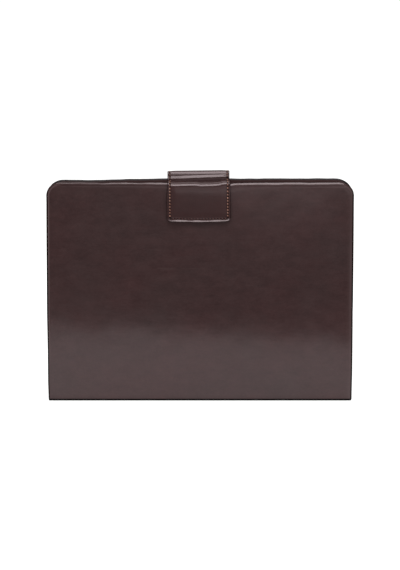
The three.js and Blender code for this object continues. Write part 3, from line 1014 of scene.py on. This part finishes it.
# %% Tab mesh
def make_tab():
    """A grid along and across the tab. Its thickness follows the rolled edge, the groove that
    the stitches pull into the leather, the soft swelling inside them, and at the front end a
    lip, which slopes outwards from the last row of stitches and then rounds under."""
    edge = np.concatenate([edge_steps(TAB / 2, 7), np.linspace(1.2, 3.0, 13) * MM])
    end_edge = np.concatenate([edge, np.linspace(3.15, 6.0, 20) * MM])
    along = both_ends(tab_length, end_edge, TAB_ROWS)
    corner_cut = np.maximum(TAB_CORNER - np.minimum(along, tab_length - along), 0)
    row_half = TAB_HALF_WIDTH - TAB_CORNER + np.sqrt(TAB_CORNER**2 - corner_cut**2)
    even = both_ends(2 * TAB_HALF_WIDTH, edge, TAB_COLUMNS) - TAB_HALF_WIDTH
    x = even * (row_half / TAB_HALF_WIDTH)[:, None]
    s = along[:, None] + 0 * x
    past_x = np.abs(x) - (TAB_HALF_WIDTH - TAB_CORNER)
    past_s = np.abs(s - tab_length / 2) - (tab_length / 2 - TAB_CORNER)
    distance = inward(past_x, past_s, TAB_CORNER)
    from_side = TAB_HALF_WIDTH - np.abs(x)
    from_end = np.minimum(s, tab_length - s)
    past_side, past_end = from_side - STITCH_IN, from_end - END_STITCH_IN
    side_line = bell(past_side, GROOVE_WIDTH[0]) * (from_end > END_STITCH_IN - GROOVE_END)
    end_line = bell(past_end, GROOVE_WIDTH[1]) * (from_side > STITCH_IN - GROOVE_END)
    line = np.maximum(side_line, end_line)
    swell = PUFF * smooth_step(0, PUFF_REACH, np.minimum(past_side, past_end))
    to_end = tab_length - s
    reach = TAB_CORNER - to_end
    radial = np.hypot(np.maximum(past_x, 0), reach)
    from_lip = TAB_CORNER - np.where(reach > 0, radial, reach)
    flare = np.clip((LIP_SLOPE[1] - from_lip) / (LIP_SLOPE[1] - LIP_SLOPE[0]), 0, 1)
    roll = flare**LIP_CURVE * rolled_share(from_lip, LIP_SLOPE[0])
    lip = LIP * (1 + waves(x, s, LIP_WAVES)) * roll
    lip = lip * smooth_step(0.25, 0.95, reach / np.maximum(radial, 0.01 * MM))
    half = TAB / 2 * rolled_share(distance, TAB / 2)[..., None]
    extra = ((swell + lip - STITCH_GROOVE * line) * (distance > 0))[..., None]
    middle = tab_middle(s, x)
    normal = facing(middle)
    # Dark dyed edges; across the front end the band is also painted shade, for the dark gap under
    # the lip
    painted = 1 - smooth_step(*TAB_PAINT, distance)
    painted = np.maximum(painted, 1 - smooth_step(*TAB_END_DYE_AND_SHADE, to_end))
    place = np.stack([x, s], axis=-1)
    outer, inner = middle + normal * (half + extra), middle - normal * half
    values = {"edge": painted * 0.6, "seam": line}
    return closed_sheet("closure_tab_leather", outer, inner, [tab_finish] * 2, values, place)


tab = make_tab()
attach(tab, "root")
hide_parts("closure_tab")

# %% [markdown]
# ## Stitches
#
# A rust-brown thread runs along both sides and across the ends of the tab. A texture would lie
# flat, and one curve with a bevel would not dip into its holes. Each stitch is a short arch of
# thread whose two ends go into the leather, and all of them are worked out as one array.

# %% Stitch mesh
STITCH_PITCH = 3.4 * MM
STITCH_LENGTH = 2.4 * MM
THREAD = 0.48 * MM
STITCH_SLANT = 0.2
LOOP_SINK_AND_SHADE = 0.6

# Further back from the front end than this the thread is sunk a little and painted darker as
# shade: none and all of it
SUNK_AND_SHADED_FROM = (36 * MM, 39 * MM)
SUNK_DEPTH = 0.16 * MM
SHADED_THREAD = (0.045, 0.012, 0.009, 1)
RING = 8

# Ring by ring along a stitch: how high its middle lies and how wide it is, as shares of the
# thread's radius, and how much painted shade darkens it where it goes into its holes
ARCH = np.array([-1.3, -0.6, 0.1, 0.5, 0.6, 0.5, 0.1, -0.6, -1.3])
GIRTH = np.array([0.35, 0.7, 0.95, 1.05, 1.1, 1.05, 0.95, 0.7, 0.35])
RING_SHADE = np.array([1.0, 1.0, 0.75, 0.25, 0.0, 0.25, 0.75, 1.0, 1.0])


def stitch_lines():
    """Middle, direction, and sink and painted shade of every stitch, as lengths along and across
    the tab. Up to the front bend the thread is sunk a little and painted darker as shade, and
    across the ends it lies deepest and darkest."""
    last = tab_length - END_STITCH_IN
    side = np.arange(END_STITCH_IN + STITCH_PITCH / 2, last, STITCH_PITCH)
    seam = TAB_HALF_WIDTH - STITCH_IN
    end = np.arange(-seam + STITCH_PITCH, seam, STITCH_PITCH)
    to_end = tab_length - side
    sunk_and_shaded = LOOP_SINK_AND_SHADE * smooth_step(*SUNK_AND_SHADED_FROM, to_end)
    lines = []
    for sign in (-1, 1):
        across = np.full(len(side), sign * seam)
        lines.append(np.column_stack([side, across, 0 * side + 1, 0 * side, sunk_and_shaded]))
    for along in (END_STITCH_IN, last):
        lines.append(np.column_stack([0 * end + along, end, 0 * end, 0 * end + 1, 0 * end + 1]))
    return np.concatenate(lines)


def make_stitches():
    """Tubes of thread: rings of points round a short arch. Each ring is the middle plus cosine
    and sine shares of the leather's normal and the sideways direction."""
    lines = stitch_lines()
    t = np.linspace(-0.5, 0.5, len(ARCH)) * STITCH_LENGTH
    slant = STITCH_SLANT * t
    along = lines[:, 0:1] + lines[:, 2:3] * t + lines[:, 3:4] * slant
    across = lines[:, 1:2] + lines[:, 3:4] * t + lines[:, 2:3] * slant
    step = 0.05 * MM
    here = tab_middle(along, across)
    ahead = tab_middle(along + step, across) - tab_middle(along - step, across)
    beside = tab_middle(along, across + step) - tab_middle(along, across - step)
    normal = unit(np.cross(ahead, beside))
    surface = TAB / 2 - STITCH_GROOVE
    sink = lines[:, 4:5, None] * SUNK_DEPTH
    centre = here + normal * (surface + ARCH[:, None] * THREAD - sink)
    forward = unit(np.gradient(centre, axis=1))
    sideways = unit(np.cross(forward, normal))
    upward = np.cross(sideways, forward)
    angle = (np.arange(RING) / RING * 2 * math.pi)[:, None]
    radius = THREAD * GIRTH[:, None, None]
    ring = (
        centre[:, :, None]
        + radius * np.cos(angle) * sideways[:, :, None]
        + radius * np.sin(angle) * upward[:, :, None]
    )
    count, rings = ring.shape[:2]
    index = np.arange(count * rings * RING).reshape(count, rings, RING)
    after = np.roll(index, -1, axis=2)
    sides = np.stack([index[:, :-1], index[:, 1:], after[:, 1:], after[:, :-1]], axis=-1)
    caps = np.concatenate([index[:, 0], index[:, -1, ::-1]])
    mesh = bpy.data.meshes.new("tab_stitches")
    mesh.from_pydata(
        ring.reshape(-1, 3).tolist(), [], sides.reshape(-1, 4).tolist() + caps.tolist()
    )
    mesh.polygons.foreach_set("use_smooth", np.ones(len(mesh.polygons), bool))
    # Painted shade per ring: darker where the thread goes into its holes, on the loop and across
    # the ends
    shade = mesh.attributes.new("shade", "FLOAT", "POINT")
    per_ring = np.maximum(lines[:, 4:5], RING_SHADE)
    per_point = np.repeat(per_ring.reshape(-1), RING)
    shade.data.foreach_set("value", per_point.astype(np.float32))
    obj = bpy.data.objects.new("tab_stitches", mesh)
    bpy.context.collection.objects.link(obj)
    print(count, "stitches,", len(mesh.polygons), "faces")
    return obj


def waxed_thread(name, light, dark):
    """Twisted waxed thread: two close tones in fine bands, darkened as painted shade where the
    mesh's shade value says.
    """
    material, nodes, shader = finish_start(name)
    source = nodes.add("TexCoord").outputs["Object"]
    strands = nodes.noise(source, 2600, 2)
    tone = nodes.noise(source, 140, 2)
    share = nodes.ramp(nodes.math("ADD", strands, tone), 0.75, 1.25)
    thread_shade = nodes.attribute("shade")
    color = nodes.blend(share, light, dark)
    color = nodes.blend(thread_shade, color, SHADED_THREAD)
    nodes.into("Base Color", color)
    nodes.into("Normal", nodes.bump(strands, 0.6, 0.08 * MM))
    shader.inputs["Roughness"].default_value = 0.4
    return material


stitches = make_stitches()
stitches.data.materials.append(
    waxed_thread("rust_thread", (0.45, 0.25, 0.18, 1), (0.2, 0.07, 0.045, 1))
)
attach(stitches, "root")

# %% [markdown]
# ## Clasp
#
# The magnetic clasp hides between tab and front wall, so its exact solid stays and only gets
# a nickel finish with fine turning marks.

# %% Clasp finish
def nickel(name):
    """Brushed nickel plating: rings of fine scratches in the roughness."""
    material, nodes, shader = finish_start(name)
    source = nodes.add("TexCoord").outputs["Object"]
    scratches = nodes.noise(nodes.stretch(source, (1, 0.1, 12)), 900, 3)
    stain = nodes.noise(source, 200, 2)
    color = nodes.blend(stain, (0.62, 0.6, 0.56, 1), (0.72, 0.7, 0.67, 1))
    nodes.into("Base Color", color)
    rough = nodes.math("ADD", nodes.math("MULTIPLY", scratches, 0.2), 0.2)
    nodes.into("Roughness", rough)
    nodes.into("Normal", nodes.bump(scratches, 0.3, 0.02 * MM))
    shader.inputs["Metallic"].default_value = 1.0
    return material


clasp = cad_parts["clasp_disc"]
clasp.data.materials.clear()
clasp.data.materials.append(nickel("clasp_nickel"))
